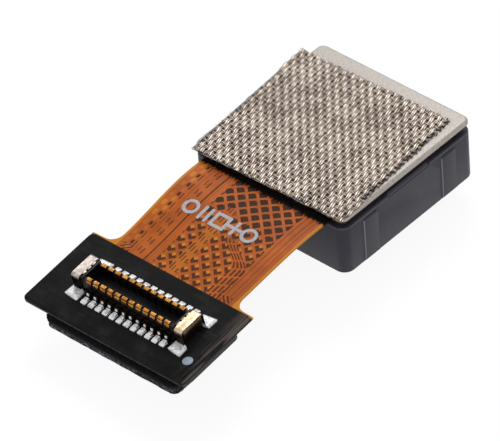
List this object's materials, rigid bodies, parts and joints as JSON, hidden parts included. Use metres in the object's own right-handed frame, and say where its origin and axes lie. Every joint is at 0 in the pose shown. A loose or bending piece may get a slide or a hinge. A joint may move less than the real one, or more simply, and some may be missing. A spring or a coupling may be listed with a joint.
{
  "type": "camera module",
  "caption": "Square fixed-focus camera module with a conductive cloth on its back plate and a short amber flexible tail that ends in a board-to-board plug.",
  "frame": {"origin": "middle of the lens barrel's front face, on the optical axis", "axes": "+Z from the lens towards the back plate, along the optical axis; the tail runs out along -Y; +X is along the plug's contact rows"},
  "size_m": [0.0091, 0.0186, 0.0041],
  "materials": {
    "barrel_black": "moulded, satin black",
    "lens_glass": "polished, coated",
    "shield_black": "matt black film",
    "housing_grey": "moulded, satin dark grey",
    "filter_glass": "polished, pale blue-green",
    "epoxy_black": "cured adhesive",
    "silicon": "polished die",
    "gold": "gold plated",
    "capacitor": "fired ceramic with tinned ends",
    "board_green": "laminate with solder mask",
    "polyimide": "amber polyimide over etched copper",
    "glue_film": "adhesive film",
    "plate_steel": "satin stamped sheet",
    "conductive_cloth": "plain weave, metallised yarn",
    "cover_black": "matt black cover film",
    "stiffener_black": "laminate, black",
    "foam_black": "cut cellular foam",
    "plug_black": "moulded liquid-crystal polymer",
    "fitting_metal": "plated sheet, satin",
    "solder_silver": "reflowed solder"
  },
  "bodies": {
    "root": {"lens_barrel": "barrel_black", "lens_1": "lens_glass", "lens_2": "lens_glass", "lens_3": "lens_glass", "lens_4": "lens_glass", "light_shields": "shield_black", "lens_retainer": "shield_black", "housing": "housing_grey", "filter_bond": "epoxy_black", "infrared_filter": "filter_glass", "holder_bond": "epoxy_black", "image_sensor": "silicon", "bond_wires": "gold", "chip_capacitors": "capacitor", "sensor_board": "board_green", "flex_circuit": "polyimide", "back_laminate": "board_green", "plate_adhesive": "glue_film", "back_plate": "plate_steel", "cloth_adhesive": "glue_film", "grounding_cloth": "conductive_cloth", "cover_film": "cover_black", "stiffener": "stiffener_black", "foam_adhesive": "glue_film", "foam_pad": "foam_black", "plug_body": "plug_black", "contacts_front": "gold", "contacts_back": "gold", "end_fitting_left": "fitting_metal", "end_fitting_right": "fitting_metal", "solder_front": "solder_silver", "solder_back": "solder_silver", "corner_solder": "solder_silver"}
  },
  "joints": []
}
